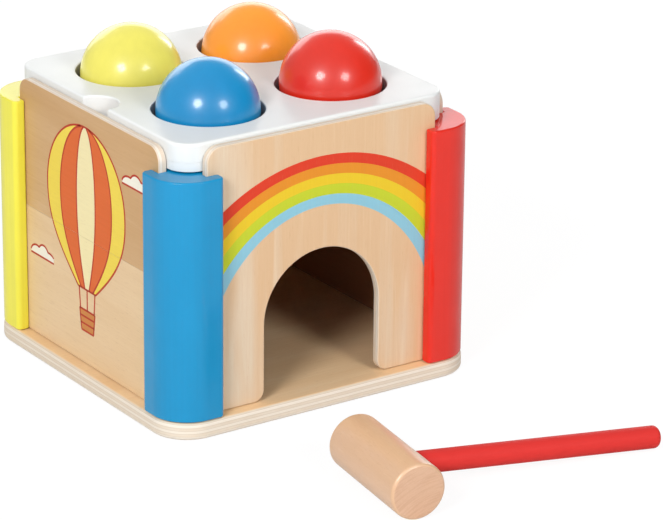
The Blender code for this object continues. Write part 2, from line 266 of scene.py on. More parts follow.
def blendColour(tree, factor, first, second, way="MIX"):
    node = tree.nodes.new("ShaderNodeMix")
    node.data_type = "RGBA"
    node.blend_type = way
    plug(tree, node.inputs["Factor"], factor)
    plug(tree, node.inputs["A"], first)
    plug(tree, node.inputs["B"], second)
    return node.outputs["Result"]


def bumped(tree, shader, height, distance, strength):
    node = tree.nodes.new("ShaderNodeBump")
    setInputs(node, {"Strength": strength, "Distance": distance})
    tree.links.new(height, node.inputs["Height"])
    tree.links.new(node.outputs["Normal"], shader.inputs["Normal"])


# Wood: a broad figure, fine fibres and short flecks, all drawn out along the grain

woodNoise = dict(
    figure=dict(detail=2, roughness=0.5, distortion=0.6), fibre=dict(detail=4, roughness=0.6),
    fleck=dict(detail=2, roughness=0.5), ray=dict(distortion=0.8))
woodBand = dict(ray=(0.56, 0.74), fleck=(0.6, 0.76))
woodFinish = dict(unevenGloss=0.1, varnishRoughness=0.3, grooveDepth=0.02 * mm, grooveStrength=0.6)
plyEdge = dict(waverScale=(45, 45, 45), acrossScale=1500, alongScale=130, blotchScale=(28, 28, 60),
               streakDepth=0.35, blotchDepth=0.3, layerStep=(0.2, 0.3), glueWidth=0.05, facing=(0.8, 0.97))
# Painted shade on the faces that look into the box, fading out below the white top
insideShadeLook = dict(tone=(168, 114, 94), depth=0.85, facing=(0.5, 0.8), fade=(110 * mm, 120 * mm))


def woodColour(tree, local, look):
    figure, fibre, fleck, ray = (noise(tree, stretched(tree, local, look[part]), **settings)
                                 for part, settings in woodNoise.items())
    figureShare = widened(tree, figure, smooth=True)
    for direction, start, end, amount in look.get("drift", ()):  # the tone drifts towards the deep tone along each given direction
        reach = partAlong(tree, placed(tree), direction)
        figureShare = calculate(tree, "ADD", figureShare,
                                spread(tree, reach, start, end, 0.0, amount, smooth=True))
    fibreShare = widened(tree, fibre)
    colour = blendColour(tree, figureShare, tone(*look["pale"]), tone(*look["deep"]))
    fibreDepth = calculate(tree, "MULTIPLY", fibreShare, look["fibreDepth"])
    colour = blendColour(tree, fibreDepth, colour, tone(*look["fibreTone"]))
    rayShare = spread(tree, ray, *woodBand["ray"], 0.0, look["rayDepth"], smooth=True)
    colour = blendColour(tree, rayShare, colour, tone(*look["rayTone"]))
    fleckShare = spread(tree, fleck, *woodBand["fleck"], 0.0, look["fleckDepth"])
    colour = blendColour(tree, fleckShare, colour, tone(*look["fleckTone"]))
    return colour, fibreShare, fleckShare


def pliedEdge(tree, plies):  # layers of the plywood, seen where the surface faces sideways
    vector = placed(tree)
    waver = noise(tree, stretched(tree, vector, plyEdge["waverScale"]), detail=2)
    depth = calculate(tree, "MULTIPLY_ADD", waver, plies["waver"], partAlong(tree, vector, plies["axis"]))
    share = spread(tree, depth, plies["low"], plies["high"], 0.0, plies["count"] / 2)
    saw = calculate(tree, "FRACT", share)
    ridge = calculate(tree, "ABSOLUTE", calculate(tree, "SUBTRACT", saw, 0.5))
    layer = spread(tree, ridge, *plyEdge["layerStep"], smooth=True)
    lay = [plyEdge["acrossScale"] if part else plyEdge["alongScale"] for part in plies["axis"]]
    streak = noise(tree, stretched(tree, vector, lay), detail=4, roughness=0.6)
    blotch = noise(tree, stretched(tree, vector, plyEdge["blotchScale"]), detail=2)
    for mark, strength in ((streak, plyEdge["streakDepth"]), (blotch, plyEdge["blotchDepth"])):
        layer = calculate(tree, "ADD", layer, widened(tree, mark, -strength, strength))
    colour = blendColour(tree, layer, tone(*plies["pale"]), tone(*plies["deep"]))
    seam = calculate(tree, "ABSOLUTE", calculate(tree, "SUBTRACT", ridge, 0.25))
    glue = spread(tree, seam, 0.0, plyEdge["glueWidth"], plies["glueDepth"], 0.0, smooth=True)
    colour = blendColour(tree, glue, colour, tone(*plies["glue"]))
    facing = calculate(tree, "ABSOLUTE", partAlong(tree, surfaceNormal(tree), plies["axis"]))
    return colour, spread(tree, facing, *plyEdge["facing"], smooth=True)


def paintedInsideShade(tree, colour, inward):  # painted shade: the face that looks into the box is darkened, fading out towards the white top
    facing = partAlong(tree, surfaceNormal(tree), inward)
    share = spread(tree, facing, *insideShadeLook["facing"], 0.0, insideShadeLook["depth"])
    height = partAlong(tree, placed(tree), (0, 0, 1))
    below = spread(tree, height, *insideShadeLook["fade"], 1.0, 0.0)
    share = calculate(tree, "MULTIPLY", share, below)
    return blendColour(tree, share, colour, tone(*insideShadeLook["tone"]), "MULTIPLY")


def turnedEnds(tree, colour, local, ends):  # painted shade round the rims, with bowed year rings on the ends
    facing = calculate(tree, "ABSOLUTE", partAlong(tree, surfaceNormal(tree), ends["axis"]))
    offRim = calculate(tree, "ABSOLUTE", calculate(tree, "SUBTRACT", facing, ends["rimFacing"]))
    rimShade = spread(tree, offRim, *ends["rimFade"], ends["rimShadeDepth"], 0.0, smooth=True)
    colour = blendColour(tree, rimShade, colour, tone(*ends["rimShadeTone"]))
    across, up = splitUp(tree, local)[1:]
    square = calculate(tree, "MULTIPLY", across, across)
    bowed = tree.nodes.new("ShaderNodeCombineXYZ")
    tree.links.new(across, bowed.inputs["Y"])
    tree.links.new(calculate(tree, "MULTIPLY_ADD", square, ends["bow"], up), bowed.inputs["Z"])
    rings = noise(tree, stretched(tree, bowed.outputs["Vector"], ends["ringScale"]), distortion=0.4)
    ringShare = spread(tree, rings, *ends["ringBand"], 0.0, ends["ringDepth"], smooth=True)
    endColour = blendColour(tree, ringShare, tone(*ends["endTone"]), tone(*ends["ringTone"]))
    endShare = spread(tree, facing, *ends["endFacing"], smooth=True)
    return blendColour(tree, endShare, colour, endColour, "MULTIPLY")


def makeWood(name, look):
    material, tree, shader = newMaterial(name)
    local = placed(tree, look.get("centre", (0, 0, 0)), look["turn"])
    colour, fibre, fleck = woodColour(tree, local, look)
    if "plies" in look:
        edge, faceShare = pliedEdge(tree, look["plies"])
        colour = blendColour(tree, faceShare, edge, colour)
    # painted shade on the faces that look into the box
    if "inside" in look:
        colour = paintedInsideShade(tree, colour, look["inside"])
    if "ends" in look:
        colour = turnedEnds(tree, colour, local, look["ends"])
    plug(tree, shader.inputs["Base Color"], colour)
    gloss = look["gloss"]
    plug(tree, shader.inputs["Roughness"],
         spread(tree, fibre, 0, 1, gloss, gloss + woodFinish["unevenGloss"]))
    setInputs(shader, {"Specular IOR Level": look["shine"], "Coat Weight": look.get("varnish", 0),
                       "Coat Roughness": woodFinish["varnishRoughness"]})
    grooves = calculate(tree, "SUBTRACT", fibre, fleck)
    bumped(tree, shader, grooves, woodFinish["grooveDepth"], woodFinish["grooveStrength"])
    return material


def pliesThrough(node, thicknessAxis, plies):  # the layers lie across a board's thickness
    low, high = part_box(node)
    axis = "xyz".index(thicknessAxis)
    return dict(plies, axis=[int(i == axis) for i in range(3)], low=low[axis], high=high[axis])


wallPlies = dict(count=3, waver=0.15 * mm, pale=(236, 225, 211), deep=(225, 207, 186),
                 glue=(196, 168, 140), glueDepth=0.55)
basePlies = dict(count=6, waver=0.25 * mm, pale=(236, 225, 210), deep=(226, 211, 191),
                 glue=(184, 158, 130), glueDepth=0.6)
boardGrain = dict(figure=(6, 40, 40), fibre=(36, 1000, 1000), fleck=(240, 2500, 2500), ray=(16, 190, 190))
frontVeneerLook = dict(
    turn=(0, -90, 4), pale=(228, 208, 182), deep=(225, 189, 149), fibreTone=(212, 170, 126),
    fibreDepth=0.24, rayTone=(240, 216, 184), rayDepth=0.24, fleckTone=(200, 156, 112), fleckDepth=0.22,
    # the tone drifts paler towards the left and the bottom of the front wall
    drift=(((1, 0, 0), -55 * mm, -10 * mm, 0.6), ((0, 0, 1), 75 * mm, 20 * mm, -0.5)),
    # inside points into the box, for the painted shade on the wall's inner face
    gloss=0.38, shine=0.4, inside=(0, 1, 0), plies=pliesThrough("front_panel", "y", wallPlies),
    figure=(6, 80, 80), fibre=(40, 1100, 1100), fleck=(260, 2600, 2600), ray=(14, 320, 320))
boardLook = dict(
    pale=(210, 171, 124), deep=(200, 157, 106), fibreTone=(186, 141, 94), fibreDepth=0.18,
    rayTone=(222, 190, 150), rayDepth=0.3, fleckTone=(172, 128, 88), fleckDepth=0.25,
    gloss=0.36, shine=0.45, **boardGrain)
lowerBoardTones = dict(
    pale=(233, 204, 163), deep=(227, 194, 150), fibreTone=(204, 164, 118), rayTone=(234, 208, 172))
baseLook = dict(
    turn=(0, 0, 0), pale=(248, 216, 174), deep=(240, 203, 157), fibreTone=(214, 174, 128), fibreDepth=0.2,
    rayTone=(244, 218, 182), rayDepth=0.3, fleckTone=(186, 142, 100), fleckDepth=0.28,
    gloss=0.5, shine=0.25, plies=pliesThrough("base_board", "z", basePlies), **boardGrain)


# Paint: a little unevenness in colour and gloss, and the wood's grain faintly showing through

coating = dict(cloudScale=60, skinScale=1500, patches=(0.35, 0.65), unevenGloss=1.3, grainHeight=0.5,
               peelStrength=0.5)
plainFinish = dict(shine=0.25, coat=0.0, peel=0.012 * mm, shade=0.94, polish=0.12, chalk=0.0)


def paintLayers(tree, grain, skinScale):  # clouds in the paint, grain lines under it and its fine skin
    local = placed(tree)
    cloud = noise(tree, stretched(tree, local, [coating["cloudScale"]] * 3))
    lines = noise(tree, stretched(tree, local, grain), detail=4, roughness=0.6)
    skin = noise(tree, stretched(tree, local, [skinScale] * 3), detail=2)
    uneven = calculate(tree, "MULTIPLY_ADD", lines, 0.5, calculate(tree, "MULTIPLY", cloud, 0.5))
    return cloud, lines, skin, spread(tree, uneven, *coating["patches"])


def makePaint(name, colour, **settings):
    finish = {**plainFinish, **settings}
    material, tree, shader = newMaterial(name)
    cloud, lines, skin, patches = paintLayers(tree, finish["grain"], coating["skinScale"])
    plug(tree, shader.inputs["Base Color"],
         blendColour(tree, patches, tone(*colour), dimmed(colour, finish["shade"])))
    gloss = finish["gloss"]
    plug(tree, shader.inputs["Roughness"], widened(tree, cloud, gloss, gloss * coating["unevenGloss"]))
    setInputs(shader, {"Specular IOR Level": finish["shine"], "Coat Weight": finish["coat"],
                       "Coat Roughness": finish["polish"], "Diffuse Roughness": finish["chalk"]})
    height = calculate(tree, "MULTIPLY_ADD", lines, coating["grainHeight"], skin)
    bumped(tree, shader, height, finish["peel"], coating["peelStrength"])
    return material


postTones = {
    "blue": (4, 143, 196), "red": (229, 41, 25), "yellow": (246, 238, 76), "orange": (248, 152, 40)}
ballTones = {
    "blue": (0, 142, 198), "red": (221, 42, 20), "yellow": (234, 226, 104), "orange": (249, 161, 46)}
postFinish = dict(gloss=0.42, grain=(700, 700, 12), shine=0.15, coat=0.65, peel=0.004 * mm, polish=0.07)
ballFinish = dict(gloss=0.34, grain=(220, 220, 60), shine=0.5, coat=0.65, peel=0.014 * mm, polish=0.15,
                  chalk=1.0)
postPaint = {name: makePaint(name + "PostPaint", colour, **postFinish) for name, colour in postTones.items()}
ballPaint = {name: makePaint(name + "BallPaint", colour, **ballFinish) for name, colour in ballTones.items()}
handlePaint = makePaint("redHandlePaint", (218, 56, 52), gloss=0.45, grain=(60, 900, 900), shine=0.1)
print("paints ready")


# Base board

base = dict(cornerRadius=17.6 * mm, cornerSteps=18, rimRound=2.0 * mm, rimSteps=5,
            screwGap=0.2 * mm, headDepth=1.0 * mm, boreSides=48)


def buildBase():
    low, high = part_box("base_board")
    board = addBlock("baseBoard", low, high)
    roundEdges(board, base["cornerRadius"], base["cornerSteps"], lambda a, b: along(2, a, b))
    roundEdges(board, base["rimRound"], base["rimSteps"],
               lambda a, b: at(2, low.z, a, b) or at(2, high.z, a, b))
    for name in quarterTurns:
        screwLow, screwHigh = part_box("screw_" + name)
        middle = (screwLow + screwHigh) / 2
        radius = (screwHigh.x - screwLow.x) / 2 + base["screwGap"]
        depth = 2 * (screwLow.z + base["headDepth"])
        cutOut(board, addRod("countersink", radius, depth, (middle.x, middle.y, 0), base["boreSides"]))
    dress(board, makeWood("basePlywood", baseLook), "frame", "base_board")


buildBase()
print("base board done")


# Corner posts, modelled once at +X +Y and turned round the cube

post = dict(cornerRadius=17.5 * mm, cornerSteps=28, lipRound=2.4 * mm, lipInnerRound=1.1 * mm, lipSteps=6,
            innerRound=1.5 * mm, innerSteps=4, endRound=0.8 * mm, endSteps=4,
            slideGap=0.3 * mm, lipGap=0.12 * mm, past=5 * mm)


def buildPosts():
    low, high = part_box("post_orange")
    wallLow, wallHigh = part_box("right_panel_lower")
    shape = addBlock("postShape", low, high)
    roundEdges(shape, post["cornerRadius"], post["cornerSteps"],
               lambda a, b: along(2, a, b) and close(a.x, high.x) and close(a.y, high.y))
    roundEdges(shape, post["innerRound"], post["innerSteps"],
               lambda a, b: along(2, a, b) and close(a.x, low.x) and close(a.y, low.y))
    near, far = wallLow.x - post["slideGap"], wallHigh.x + post["lipGap"]
    start, end = low.y - post["past"], wallHigh.y + post["slideGap"]
    foot, head = low.z - post["past"], high.z + post["past"]
    cutOut(shape, addBlock("groove", (near, start, foot), (far, end, head)))
    cutOut(shape, addBlock("groove", (start, near, foot), (end, far, head)))
    for face, width in ((high.x, post["lipRound"]), (far, post["lipInnerRound"])):
        roundEdges(shape, width, post["lipSteps"], lambda a, b: along(2, a, b) and (
            close(a.y, low.y) and close(a.x, face) or close(a.x, low.x) and close(a.y, face)))
    roundEdges(shape, post["endRound"], post["endSteps"],
               lambda a, b: at(2, low.z, a, b) or at(2, high.z, a, b))
    for name, turn in quarterTurns.items():
        copy = copyPiece(shape, name + "Post", turn)
        dress(copy, postPaint[name], "frame", "post_" + name)
    bpy.data.objects.remove(shape)


buildPosts()
print("posts done")


# Walls that stand in the grooves

wall = dict(cornerRadius=7.0 * mm, cornerSteps=12, edgeRound=0.6 * mm, edgeSteps=3,
            seamRound=0.05 * mm, seamSteps=2, seamGap=0.12 * mm)
door = dict(halfWidth=30.0 * mm, archHeight=43.0 * mm, archSides=128, footRadius=5.0 * mm, footSteps=8,
            past=5 * mm)
# inside gives the direction into the box, where painted shade darkens each wall's inner face
sideWalls = {"left": dict(thicknessAxis="x", turn=(4, 0, 90), inside=(1, 0, 0)),
             "right": dict(thicknessAxis="x", turn=(-3, 0, 90), inside=(-1, 0, 0)),
             "back": dict(thicknessAxis="y", turn=(0, 3, 0), inside=(0, -1, 0))}


def softenWall(board, seamHeight=None):
    def onSeam(start, end):
        return seamHeight is not None and at(2, seamHeight, start, end)

    roundEdges(board, wall["edgeRound"], wall["edgeSteps"], lambda a, b: not onSeam(a, b))
    if seamHeight is not None:
        roundEdges(board, wall["seamRound"], wall["seamSteps"], onSeam)


def buildFrontWall():
    low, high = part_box("front_panel")
    board = addBlock("frontWall", low, high)
    roundEdges(board, wall["cornerRadius"], wall["cornerSteps"],
               lambda a, b: along(1, a, b) and close(a.z, high.z))
    half, past = door["halfWidth"], door["past"]
    middle = (low.y + high.y) / 2
    cutOut(board, addRod("arch", half, high.y - low.y + 2 * past, (0, middle, door["archHeight"]),
                         door["archSides"], (math.radians(90), 0, 0)))
    cutOut(board, addBlock("doorway", (-half, low.y - past, low.z - past),
                           (half, high.y + past, door["archHeight"])))
    roundEdges(board, door["footRadius"], door["footSteps"],
               lambda a, b: along(1, a, b) and close(a.z, low.z) and close(abs(a.x), half))
    softenWall(board)
    dress(board, makeWood("frontVeneer", frontVeneerLook), "frame", "front_panel")


def buildSideWall(side, half, thicknessAxis, turn, inside):
    node = side + "_panel_" + half
    label = side + half.capitalize()
    low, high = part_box(node)
    place = dict(turn=turn, centre=tuple(low), inside=inside,
                 plies=pliesThrough(node, thicknessAxis, wallPlies))
    if half == "lower":
        high.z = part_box(side + "_panel_upper")[0].z - wall["seamGap"]
    board = addBlock(label + "Wall", low, high)
    if half == "upper":
        axis = "xyz".index(thicknessAxis)
        roundEdges(board, wall["cornerRadius"], wall["cornerSteps"],
                   lambda a, b: along(axis, a, b) and close(a.z, high.z))
    softenWall(board, high.z if half == "lower" else low.z)
    tones = lowerBoardTones if half == "lower" else {}
    wood = makeWood(label + "Veneer", {**boardLook, **tones, **place})
    dress(board, wood, side + "_" + half + "_wall", node)


buildFrontWall()
for side, settings in sideWalls.items():
    for half in ("lower", "upper"):
        buildSideWall(side, half, **settings)
print("walls done")


# White top: the plate with the ball holes and the seat plate under it

top = dict(cornerRadius=11.0 * mm, cornerSteps=14, rimRound=1.4 * mm, rimSteps=6,
           footRise=0.45 * mm, footWidth=2.2 * mm, footRound=0.3 * mm, footSteps=2,
           notchRadius=10.4 * mm, notchRound=0.7 * mm, notchSides=64, notchSlack=0.1 * mm,
           backNotchRadius=7.4 * mm,  # a wider one would show past the yellow ball
           holeRadius=24.8 * mm, holeRound=0.8 * mm, holeSteps=3, holeSides=112,
           seatRadius=28.7 * mm, seatDepth=1.7 * mm, seam=0.06 * mm, past=5 * mm)
# The tones for upright faces, notches, ball holes and the underside paint light and shade on the white
white = dict(pale=(242, 244, 243), deep=(238, 240, 239), edge=(232, 234, 233), notch=(246, 248, 247),
             hole=(200, 198, 200), under=(104, 74, 50), grain=(40, 40, 900), skinScale=1300,
             gloss=(0.3, 0.38), shine=0.35, grainHeight=0.6, peel=0.012 * mm,
             notchLightFade=(0.05 * mm, 0.3 * mm), holeShadeFade=(0.1 * mm, 0.4 * mm),
             uprightFade=(0.2, 0.8), underFade=(0.985, 0.995))
holePlace = (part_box("ball_red")[0].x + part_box("ball_red")[1].x) / 2
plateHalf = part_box("top_plate")[1].x
notches = ((plateHalf, 0, top["notchRadius"]), (-plateHalf, 0, top["notchRadius"]),
           (0, plateHalf, top["backNotchRadius"]))


def makeWhite():  # sprayed white; painted shade greys the upright faces and the ball holes, painted light whitens the notch walls, and the bare underside is a dark brown that also paints shade
    material, tree, shader = newMaterial("whitePlatePaint")
    cloud, lines, skin, patches = paintLayers(tree, white["grain"], white["skinScale"])
    x, y = splitUp(tree, placed(tree))[:2]
    sideX, sideY = calculate(tree, "ABSOLUTE", x), calculate(tree, "ABSOLUTE", y)

    def within(first, second, place, radius, fade):  # in a round opening whose middle is at this place
        off = [calculate(tree, "SUBTRACT", value, middle) for value, middle in zip((first, second), place)]
        squares = [calculate(tree, "MULTIPLY", value, value) for value in off]
        away = calculate(tree, "SQRT", calculate(tree, "ADD", *squares))
        return spread(tree, calculate(tree, "SUBTRACT", away, radius), *fade, 1.0, 0.0)

    colour = blendColour(tree, patches, tone(*white["pale"]), tone(*white["deep"]))
    downward = partAlong(tree, surfaceNormal(tree), (0, 0, -1))
    upright = spread(tree, calculate(tree, "ABSOLUTE", downward), *white["uprightFade"], 1.0, 0.0)
    # painted shade: upright faces get a greyer tone than the top
    colour = blendColour(tree, upright, colour, tone(*white["edge"]))
    # painted light: the notches' upright walls are whitened
    inNotch = calculate(tree, "MAXIMUM",
                        within(sideX, y, (plateHalf, 0), top["notchRadius"], white["notchLightFade"]),
                        within(x, y, (0, plateHalf), top["backNotchRadius"], white["notchLightFade"]))
    colour = blendColour(tree, calculate(tree, "MULTIPLY", inNotch, upright), colour, tone(*white["notch"]))
    # painted shade: the walls of the ball holes are greyed
    holeShade = within(sideX, sideY, (holePlace, holePlace), top["holeRadius"], white["holeShadeFade"])
    colour = blendColour(tree, holeShade, colour, tone(*white["hole"]))
    # the bare underside gets a dark brown that also paints the shade under the plate
    colour = blendColour(tree, spread(tree, downward, *white["underFade"]), colour, tone(*white["under"]))
    plug(tree, shader.inputs["Base Color"], colour)
    plug(tree, shader.inputs["Roughness"], widened(tree, cloud, *white["gloss"]))
    shader.inputs["Specular IOR Level"].default_value = white["shine"]
    height = calculate(tree, "MULTIPLY_ADD", lines, white["grainHeight"], skin)
    bumped(tree, shader, height, white["peel"], coating["peelStrength"])
    return material


def platePlan(name, low, high):
    plate = addBlock(name, low, high)
    roundEdges(plate, top["cornerRadius"], top["cornerSteps"], lambda a, b: along(2, a, b))
    height = (low.z + high.z) / 2
    for x, y, radius in notches:
        cutOut(plate, addRod("notch", radius, high.z - low.z + top["past"], (x, y, height),
                             top["notchSides"]))
    return plate


def softenRim(plate, height):  # crisper where a fingertip goes
    def inNotch(place):
        return any((place - Vector((x, y, height))).length < radius + top["notchSlack"]
                   for x, y, radius in notches)

    weights = plate.data.attributes.new("bevel_weight_edge", "FLOAT", "EDGE")
    for edge in plate.data.edges:
        start, end = (plate.data.vertices[corner].co for corner in edge.vertices)
        if at(2, height, start, end):
            notched = inNotch(start) and inNotch(end)
            weights.data[edge.index].value = top["notchRound"] / top["rimRound"] if notched else 1
    rim = plate.modifiers.new("rim", "BEVEL")
    rim.limit_method = "WEIGHT"
    rim.width = top["rimRound"]
    rim.segments = top["rimSteps"]
    rim.use_clamp_overlap = False
    applyModifier(plate, rim)


def cutHoles(plate, radius, low, high):
    for name in quarterTurns:
        ballLow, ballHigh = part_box("ball_" + name)
        middle = (ballLow + ballHigh) / 2
        cutOut(plate, addRod("hole", radius, high - low, (middle.x, middle.y, (low + high) / 2),
                             top["holeSides"]))


def slopeFoot(seat, rimFoot):  # the underside slopes up to the rim
    openUp(seat, selected=False)
    bpy.ops.mesh.select_mode(type="FACE")
    mesh = bmesh.from_edit_mesh(seat.data)
    for face in mesh.faces:
        face.select = all(close(corner.co.z, rimFoot) for corner in face.verts)
    bmesh.update_edit_mesh(seat.data)
    bpy.ops.mesh.inset(thickness=top["footWidth"], depth=top["footRise"])
    closeUp()


def buildTop():
    whitePaint = makeWhite()
    low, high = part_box("top_plate")
    plate = platePlan("topPlate", low, high)
    softenRim(plate, high.z)
    cutHoles(plate, top["holeRadius"], low.z - top["past"], high.z + top["past"])
    roundEdges(plate, top["holeRound"], top["holeSteps"], lambda a, b: at(2, high.z, a, b))
    dress(plate, whitePaint, "frame", "top_plate")
    seatLow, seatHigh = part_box("seat_plate")
    ringTop = seatHigh.z
    seatHigh.z = low.z - top["seam"]
    rimFoot = seatLow.z + top["footRise"]
    seat = platePlan("seatPlate", Vector((seatLow.x, seatLow.y, rimFoot)), seatHigh)
    slopeFoot(seat, rimFoot)
    roundEdges(seat, top["footRound"], top["footSteps"], lambda a, b: at(2, rimFoot, a, b))
    cutHoles(seat, top["holeRadius"], seatLow.z - top["past"], seatHigh.z + top["past"])
    cutHoles(seat, top["seatRadius"], ringTop - top["seatDepth"], seatHigh.z + top["past"])
    dress(seat, whitePaint, "frame", "seat_plate")


buildTop()
print("white top done")


# Balls: a cube cut fine and blown up to a sphere, which has no poles

ball = dict(startSide=40 * mm, cuts=27, smoothAngle=80)


def buildBalls():
    startClean()
    bpy.ops.mesh.primitive_cube_add(size=ball["startSide"], location=(0, 0, 0))
    shape = bpy.context.object
    openUp(shape)
    bpy.ops.mesh.subdivide(number_cuts=ball["cuts"], smoothness=0)
    closeUp()
    low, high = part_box("ball_red")
    radius = (high.x - low.x) / 2
    swell = shape.modifiers.new("swell", "CAST")
    swell.cast_type = "SPHERE"
    swell.factor = 1
    swell.size = radius
    applyModifier(shape, swell)
    swollen = max(corner.co.length for corner in shape.data.vertices)
    shape.scale = [radius / swollen] * 3
    settle(shape, "ballShape")
    for name in quarterTurns:
        low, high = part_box("ball_" + name)
        copy = copyPiece(shape, name + "Ball")
        copy.location = (low + high) / 2
        settle(copy, copy.name)
        dress(copy, ballPaint[name], name + "_ball", "ball_" + name, ball["smoothAngle"])
    bpy.data.objects.remove(shape)


buildBalls()
print("balls done")


# Hammer

hammer = dict(place=(-30.8 * mm, -167.9 * mm), turn=-7.7, lean=-3.0, headRadius=12.5 * mm,
              headLength=58.45 * mm, headSides=128, rimRound=1.6 * mm, rimSteps=6,
              handleRadius=4.975 * mm, handleSides=96, reach=127.85 * mm, socket=5.0 * mm,
              tipRound=2.5 * mm, tipSteps=6, boreGap=0.2 * mm)
headAxis = (-math.sin(math.radians(hammer["turn"])), math.cos(math.radians(hammer["turn"])), 0)
headLook = dict(
    centre=(*hammer["place"], hammer["headRadius"]), turn=(-20, 0, hammer["turn"] + 90),
    pale=(228, 185, 146), deep=(223, 178, 138), fibreTone=(212, 164, 124), fibreDepth=0.18,
    rayTone=(238, 202, 170), rayDepth=0.22, fleckTone=(196, 146, 108), fleckDepth=0.34,
    gloss=0.34, shine=0.8, varnish=0.6,
    figure=(8, 70, 70), fibre=(160, 1300, 1300), fleck=(420, 2600, 2600), ray=(140, 800, 800),
    # the rim tone is painted shade on the rounded rims
    ends=dict(axis=headAxis, rimShadeTone=(214, 172, 136), rimShadeDepth=0.3, rimFacing=0.6, rimFade=(0.1, 0.4),
              bow=14, ringScale=(0, 70, 1150), ringBand=(0.42, 0.64), ringDepth=0.28,
              ringTone=(214, 190, 178), endTone=(245, 243, 250), endFacing=(0.9, 0.99)))


def buildHammer():
    radius, length = hammer["headRadius"], hammer["headLength"]
    handleRadius, reach, socket = hammer["handleRadius"], hammer["reach"], hammer["socket"]
    centre = Vector((*hammer["place"], radius))
    turn = Matrix.Rotation(math.radians(hammer["turn"]), 4, "Z")
    head = addRod("hammerHead", radius, length, (0, 0, 0), hammer["headSides"], (math.radians(90), 0, 0))
    roundEdges(head, hammer["rimRound"], hammer["rimSteps"],
               lambda a, b: at(1, length / 2, a, b) or at(1, -length / 2, a, b))
    restX = reach - hammer["tipRound"]
    slope = math.asin(radius / math.hypot(restX, handleRadius)) - math.atan2(handleRadius, restX)
    lie = (Matrix.Rotation(math.radians(hammer["lean"]), 4, "Z")
           @ Matrix.Rotation(math.radians(90) + slope, 4, "Y"))
    bore = addRod("bore", handleRadius + hammer["boreGap"], radius * 2, (0, 0, radius - socket),
                  hammer["handleSides"])
    bore.matrix_world = lie
    cutOut(head, settle(bore, "bore"))
    head.matrix_world = Matrix.Translation(centre) @ turn
    settle(head, "hammerHead")
    dress(head, makeWood("hammerBeech", headLook), "hammer", "hammer_head")
    handle = addRod("hammerHandle", handleRadius, reach + socket, (0, 0, (reach - socket) / 2),
                    hammer["handleSides"])
    roundEdges(handle, hammer["tipRound"], hammer["tipSteps"], lambda a, b: at(2, reach, a, b))
    handle.matrix_world = Matrix.Translation(centre) @ turn @ lie
    settle(handle, "hammerHandle")
    dress(handle, handlePaint, "hammer", "hammer_handle")


buildHammer()
print("hammer done")


# Rainbow printed on the front wall: arcs of ellipses about one middle

rainbow = dict(middle=-0.45 * mm, foot=25.0 * mm, outerWidth=89.6 * mm, outerHeight=90.5 * mm,
               bandWidth=5.88 * mm, bandHeight=4.56 * mm, reach=56.5 * mm, steps=96,
               bands=(("red", (221, 64, 40)), ("orange", (229, 145, 43)), ("yellow", (234, 200, 45)),
                      ("green", (197, 209, 51)), ("lightBlue", (143, 199, 218))))
ink = dict(depth=0.02 * mm, height=0.04 * mm, layerRise=0.5, thinTone=0.9, thinDepth=0.35,
           fleckBand=(0.6, 0.74), fleckDepth=0.14, gloss=(0.45, 0.55), shine=0.2)


def makeInk(name, colour, look):  # thinner on the fibres of the wood that it lies on
    material, tree, shader = newMaterial(name)
    local = placed(tree, turn=look["turn"])
    fibre, fleck = (noise(tree, stretched(tree, local, look[part]), **woodNoise[part])
                    for part in ("fibre", "fleck"))
    thinShare = widened(tree, fibre, 0.0, ink["thinDepth"])
    uneven = blendColour(tree, thinShare, tone(*colour), dimmed(colour, ink["thinTone"]))
    fleckShare = spread(tree, fleck, *ink["fleckBand"], 0.0, ink["fleckDepth"])
    uneven = blendColour(tree, fleckShare, uneven, tone(*look["fleckTone"]))
    plug(tree, shader.inputs["Base Color"], uneven)
    plug(tree, shader.inputs["Roughness"], spread(tree, fibre, 0, 1, *ink["gloss"]))
    shader.inputs["Specular IOR Level"].default_value = ink["shine"]
    return material


def addSheet(name, columns, rows, place):  # a flat grid laid out on a wall
    startClean()
    bpy.ops.mesh.primitive_grid_add(x_subdivisions=columns, y_subdivisions=rows, size=2)
    sheet = bpy.context.object
    for corner in sheet.data.vertices:
        corner.co = Vector(place(corner.co.x, corner.co.y))
    return settle(sheet, name)


def thicken(sheet, outward, layer=0):  # the ink's thickness, sunk a little into the wood
    openUp(sheet)
    bpy.ops.transform.translate(value=Vector(outward) * -ink["depth"])
    rise = ink["depth"] + ink["height"] * (1 + layer * ink["layerRise"])
    bpy.ops.mesh.extrude_region_move(TRANSFORM_OT_translate={"value": Vector(outward) * rise})
    bpy.ops.mesh.select_all(action="SELECT")
    bpy.ops.mesh.normals_make_consistent(inside=False)
    closeUp()


def buildRainbow():
    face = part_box("front_panel")[0].y

    def arcPoint(share, edge):
        width = rainbow["outerWidth"] - edge * rainbow["bandWidth"]
        height = rainbow["outerHeight"] - edge * rainbow["bandHeight"]
        lowest = math.acos(rainbow["reach"] / width)
        angle = math.pi / 2 - share * (math.pi / 2 - lowest)
        return (rainbow["middle"] + width * math.cos(angle), face, rainbow["foot"] + height * math.sin(angle))

    for index, (name, colour) in enumerate(rainbow["bands"]):
        band = addSheet(name + "Band", rainbow["steps"], 1, lambda x, y: arcPoint(x, index + 0.5 - y / 2))
        thicken(band, (0, -1, 0))
        dress(band, makeInk(name + "Ink", colour, frontVeneerLook), "frame")


buildRainbow()
print("rainbow done")


# Picture on the left wall, in millimetres across and up; it is cut where the wall's two boards meet

